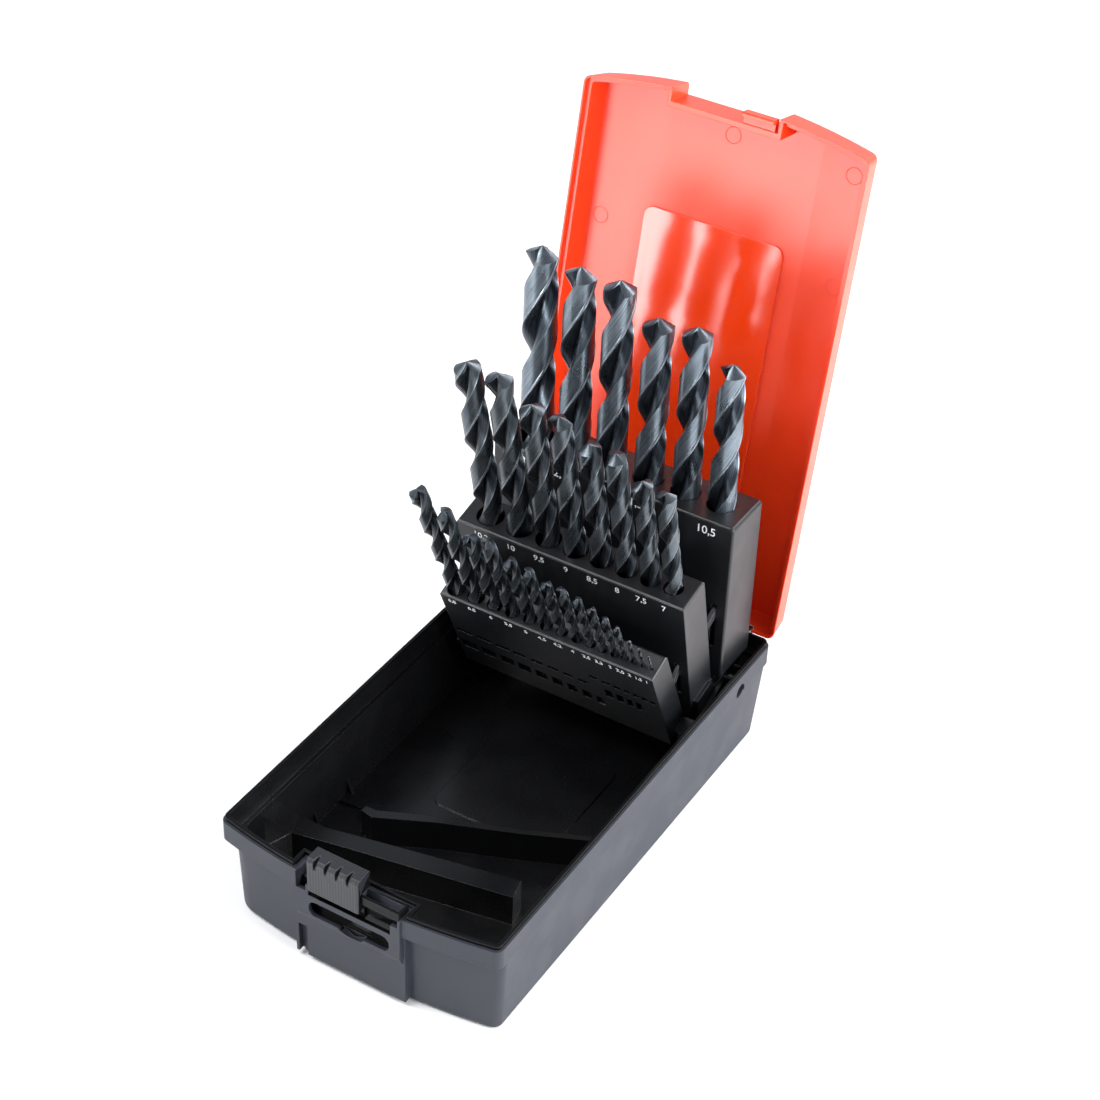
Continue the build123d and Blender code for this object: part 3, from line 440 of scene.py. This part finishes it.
def drill_profile(count):
    """Section of a two-flute drill as (angle, radius share, kind), one half turn, radius 1.

    The heel is at angle 0, the leading margin closes the land, then come the cutting wall and the flute."""
    half = []
    for i in range(count):
        th = pi * i / count
        if th <= LAND:
            back = LAND - th
            if back < radians(6):
                half.append((th, 1.0, 1.0))
            else:
                k = min(1.0, (back - radians(6)) / radians(4))
                half.append((th, 1.0 - 0.050 * k, 0.0))
        else:
            u = (th - LAND) / (pi - LAND)
            web = 0.20
            if u < 0.36:
                v = 1.0 - u / 0.36
                r = web + (1.0 - web) * (v ** 1.6)
            else:
                v = (u - 0.36) / 0.64
                r = 0.95 - (0.95 - web) * (1 - v ** 1.9) ** 0.90
            half.append((th, max(r, web), 0.0))
    return half + [(th + pi, r, k) for th, r, k in half]


def build_drill(name, holder, d, length, flute, x, s_end, turn):
    R = d / 2 * 0.997
    lead = pi * d / tan(HELIX)
    cot = 1 / tan(radians(59))
    n_ring = 112 if d > 5 else (80 if d > 2.5 else 56)
    half = drill_profile(n_ring // 2)
    bm = bmesh.new()
    a_layer = bm.verts.layers.float_vector.new("along")
    k_layer = bm.verts.layers.float.new("kind")
    s_layer = bm.verts.layers.float.new("share")
    phase = radians(turn)
    runout = 1.15 * d                      # flutes run out into the shank
    z_run = length - flute

    def vert(th, r, z, kind):
        ang = th + phase - 2 * pi * (length - z) / lead
        v = bm.verts.new((r * cos(ang), r * sin(ang), z))
        v[a_layer] = (r * cos(th), r * sin(th), z)
        v[s_layer] = r / R
        v[k_layer] = kind
        return v

    def depth(z):
        """Share of the full flute depth at height z."""
        k = (z - z_run) / runout
        return max(0.0, min(1.0, k)) ** 0.6

    step = lead / (64 if d > 5 else 44)
    relief = 0.20                           # the point's flanks fall away behind each lip

    def top_z(th, share):
        behind = (LAND - th) % pi
        return length - 0.001 - share * R * cot - relief * R * share * min(behind, 2.4) / 2.4

    rings = []
    c = min(0.5, 0.15 * d)
    zs = [(0.0, R - c), (c, R)]
    rings.append([vert(th, (R - c), 0.0, 3.0) for th, r, k in half])
    rings.append([vert(th, R, c, 3.0) for th, r, k in half])
    z = c + 2.0
    while z < z_run - 0.5:
        rings.append([vert(th, R, z, 3.0) for th, r, k in half])
        z += max(4.0, d * 0.6)
    z = z_run
    last = length - R * cot - relief * R - 0.02 * d
    steps = max(8, int((last - z_run) / step))
    for i in range(steps + 1):
        z = z_run + (last - z_run) * i / steps
        q = depth(z)
        ring = []
        for th, r, k in half:
            rr = R * (1 - (1 - r) * q)
            ring.append(vert(th, rr, z, 3.0 if q < 0.02 else k))
        rings.append(ring)
    # side wall up to the cone
    top = []
    for th, r, k in half:
        top.append(vert(th, R * r, top_z(th, r), k))
    rings.append(top)
    for lo, hi in zip(rings, rings[1:]):
        n = len(lo)
        for i in range(n):
            bm.faces.new((lo[i], lo[(i + 1) % n], hi[(i + 1) % n], hi[i]))
    # flat of the shank end
    cen = bm.verts.new((0, 0, 0.0))
    cen[k_layer] = 3.0
    n = len(rings[0])
    for i in range(n):
        bm.faces.new((rings[0][(i + 1) % n], rings[0][i], cen))
    # point: shrinking copies of the section, each on the cone
    prev = []
    for (th, r, k) in half:
        prev.append(vert(th, R * r, top_z(th, r), 2.0))
    body_faces = len(bm.faces)
    for share in (0.86, 0.66, 0.46, 0.28, 0.14, 0.05):
        cur = [vert(th, R * r * share, top_z(th, r * share), 2.0) for th, r, k in half]
        for i in range(n):
            bm.faces.new((prev[i], prev[(i + 1) % n], cur[(i + 1) % n], cur[i]))
        prev = cur
    tip = bm.verts.new((0, 0, length - 0.02))
    tip[k_layer] = 2.0
    for i in range(n):
        bm.faces.new((prev[i], prev[(i + 1) % n], tip))
    bmesh.ops.recalc_face_normals(bm, faces=bm.faces)
    mesh = bpy.data.meshes.new(name)
    bm.to_mesh(mesh)
    bm.free()
    r = radians(holder["a"])
    along = Vector((0, -sin(r), cos(r)))
    across = Vector((0, cos(r), sin(r)))
    base = at(holder["a"], s_end, holder["ax"], x)
    m = Matrix((Vector((1, 0, 0)), across, along)).transposed().to_4x4()
    mesh.transform(Matrix.Scale(MM, 4) @ Matrix.Translation(base) @ m)
    mesh.materials.append(DRILL if holder is REAR else DRILL_SMALL)
    mesh.polygons.foreach_set("use_smooth", [True] * len(mesh.polygons))
    mesh.set_sharp_from_angle(angle=radians(32))
    o = bpy.data.objects.new(name, mesh)
    scene.collection.objects.link(o)
    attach(o, holder["body"])
    return o


def tag(d):
    return "%02d_%d" % (int(d), round((d - int(d)) * 10))


for holder, bits in ((REAR, REAR_BITS), (MID, MID_BITS), (FRONT, FRONT_BITS)):
    for d, length, flute, x, s_end, turn in bits:
        o = build_drill("bit_" + tag(d), holder, d, length, flute, x, s_end, turn)
        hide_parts("drill_" + tag(d))


# ------------------------------------------------------------------ size numbers
def number(name, text, holder, x, s, height):
    cu = bpy.data.curves.new(name, "FONT")
    cu.body = text
    cu.size = height * MM / 0.70
    cu.align_x = "CENTER"
    cu.align_y = "CENTER"
    cu.extrude = 0.00002
    cu.offset = 0.00002
    cu.resolution_u = 6
    o = bpy.data.objects.new(name, cu)
    r = radians(holder["a"])
    along = Vector((0, -sin(r), cos(r)))
    out = Vector((0, -cos(r), -sin(r)))
    p = at(holder["a"], s, holder["face"], x) * MM + out * 0.00002
    m = Matrix((Vector((1, 0, 0)), along, out)).transposed().to_4x4()
    m.translation = p
    o.matrix_world = m
    scene.collection.objects.link(o)
    bpy.context.view_layer.update()
    mesh = bpy.data.meshes.new_from_object(o.evaluated_get(bpy.context.evaluated_depsgraph_get()))
    mesh.transform(m)
    mesh.name = name
    bpy.data.objects.remove(o)
    o = bpy.data.objects.new(name, mesh)
    scene.collection.objects.link(o)
    mesh.materials.clear()
    mesh.materials.append(INK)
    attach(o, holder["body"])
    return o


def words(d):
    return ("%d" % d) if abs(d - round(d)) < 0.01 else ("%.1f" % d).replace(".", ",")


for holder, bits, h, drop in ((REAR, REAR_BITS, 3.3, 4.6), (MID, MID_BITS, 2.65, 3.6), (FRONT, FRONT_BITS, 2.0, 2.8)):
    for d, length, flute, x, s_end, turn in bits:
        number("number_" + tag(d), words(d), holder, x, holder["top"] - drop, h if d > 2 else h * 0.9)


# ------------------------------------------------------------------ lid marks
def lid_point(x, y, z):
    """Closed lid coordinates to the open rest pose, in metres."""
    t = radians(LID_OPEN)
    dy, dz = y - HINGE_Y, z - HINGE_Z
    return Vector((x, HINGE_Y + dy * cos(t) + dz * sin(t), HINGE_Z - dy * sin(t) + dz * cos(t))) * MM


def lid_ring(name, x, y, r, z=52.4):
    """A shallow raised circle left by an ejector pin."""
    bm = bmesh.new()
    prof = [(r - 0.22, z + 0.02), (r - 0.15, z - 0.07), (r + 0.15, z - 0.07), (r + 0.22, z + 0.02)]
    n = 72
    rings = [[bm.verts.new(lid_point(x + q * cos(2 * pi * i / n), y + q * sin(2 * pi * i / n), h)) for i in range(n)]
             for q, h in prof]
    for a, b in zip(rings, rings[1:]):
        for i in range(n):
            bm.faces.new((a[i], a[(i + 1) % n], b[(i + 1) % n], b[i]))
    bmesh.ops.recalc_face_normals(bm, faces=bm.faces)
    mesh = bpy.data.meshes.new(name)
    bm.to_mesh(mesh)
    bm.free()
    mesh.materials.append(LID)
    mesh.polygons.foreach_set("use_smooth", [True] * len(mesh.polygons))
    o = bpy.data.objects.new(name, mesh)
    scene.collection.objects.link(o)
    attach(o, "lid")
    return o


for i, (x, y) in enumerate(((-0.2, -85.9), (47.5, -84.7), (48.0, -43.3), (-47.5, -41.8))):
    lid_ring("ejector_mark_%d" % (i + 1), x, y, 3.0)

# smooth shading of the carried-over nodes
for n, o in nodes.items():
    if not o.hide_render:
        o.data.polygons.foreach_set("use_smooth", [True] * len(o.data.polygons))
        o.data.set_sharp_from_angle(angle=radians(28))

# ------------------------------------------------------------------ floor, light, camera
def floor_material():
    m = Mat("stage_pale")
    n = m.noise(m.coord, 40, 3.0, 0.5)
    m.link(m.mix(n, col(0.90, 0.90, 0.90), col(0.93, 0.93, 0.93)), m.bsdf.inputs["Base Color"])
    m.link(m.ramp(n, 0.3, 0.7, 0.55, 0.65), m.bsdf.inputs["Roughness"])
    m.bsdf.inputs["Specular IOR Level"].default_value = 0.2
    return m.mat


bpy.ops.mesh.primitive_plane_add(size=8.0, location=(0, 0, -0.0002))
floor = bpy.context.object
floor.name = "studio_floor"
floor.data.materials.append(floor_material())

world = bpy.data.worlds.new("studio") if scene.world is None else scene.world
scene.world = world
world.use_nodes = True
wt = world.node_tree
wt.nodes.clear()
wo = wt.nodes.new("ShaderNodeOutputWorld")
bg = wt.nodes.new("ShaderNodeBackground")
bg.inputs["Color"].default_value = (1.0, 1.0, 1.0, 1.0)
bg.inputs["Strength"].default_value = 1.0
wc = wt.nodes.new("ShaderNodeTexCoord")
ws = wt.nodes.new("ShaderNodeSeparateXYZ")
wr = wt.nodes.new("ShaderNodeMapRange")
wr.inputs["From Min"].default_value = 0.05
wr.inputs["From Max"].default_value = 0.85
wr.inputs["To Min"].default_value = 1.0
wr.inputs["To Max"].default_value = 0.35
wt.links.new(wc.outputs["Generated"], ws.inputs[0])
wt.links.new(ws.outputs[2], wr.inputs["Value"])
wy = wt.nodes.new("ShaderNodeMapRange")
wy.inputs["From Min"].default_value = -1.0
wy.inputs["From Max"].default_value = 0.1
wy.inputs["To Min"].default_value = 0.38
wy.inputs["To Max"].default_value = 1.0
wt.links.new(ws.outputs[1], wy.inputs["Value"])
wm = wt.nodes.new("ShaderNodeMath")
wm.operation = "MULTIPLY"
wt.links.new(wr.outputs[0], wm.inputs[0])
wt.links.new(wy.outputs[0], wm.inputs[1])
wg = wt.nodes.new("ShaderNodeVectorMath")
wg.operation = "MULTIPLY"
wt.links.new(wm.outputs[0], wg.inputs[0])
wg.inputs[1].default_value = (0.97, 1.01, 1.12)
wt.links.new(wg.outputs[0], bg.inputs["Color"])
wt.links.new(bg.outputs[0], wo.inputs["Surface"])


def area(name, loc, target, size, power, colour=(1, 1, 1)):
    la = bpy.data.lights.new(name, "AREA")
    la.shape = "RECTANGLE"
    la.size, la.size_y = size
    la.energy = power
    la.color = colour
    o = bpy.data.objects.new(name, la)
    o.location = loc
    o.rotation_mode = "QUATERNION"
    o.rotation_quaternion = (Vector(target) - Vector(loc)).to_track_quat("-Z", "Y")
    scene.collection.objects.link(o)
    return o


area("key_softbox", (-0.55, -0.45, 1.10), (0, 0, 0.08), (0.8, 0.6), 14)
area("right_softbox", (1.00, 0.10, 0.45), (0, 0, 0.08), (0.8, 0.6), 22)
area("back_softbox", (0.35, 0.9, 0.9), (0, 0.05, 0.1), (0.8, 0.4), 8)
glow = area("front_card", (-0.290, -0.76, 0.155), (-0.290, -0.303, 1.047), (0.28, 0.68), 8.6)
glow.visible_camera = False

az, el, roll = radians(30.309), radians(37.439), radians(2.189)
back = Vector((sin(az) * cos(el), -cos(az) * cos(el), sin(el)))
right = (-back).cross(Vector((0, 0, 1))).normalized()
up = right.cross(-back).normalized()
right2 = right * cos(roll) + up * sin(roll)
up2 = right * -sin(roll) + up * cos(roll)
cam = bpy.data.cameras.new("camera")
cam.sensor_fit = "HORIZONTAL"
cam.sensor_width = 36.0
cam.lens = 80.9543
cam.clip_start, cam.clip_end = 0.01, 20.0
co = bpy.data.objects.new("camera", cam)
mw = Matrix((right2, up2, back)).transposed().to_4x4()
mw.translation = Vector((0.34480210, -0.56638591, 0.62846025))
co.matrix_world = mw
scene.collection.objects.link(co)
scene.camera = co
scene.view_settings.view_transform = "Standard"
scene.view_settings.look = "None"
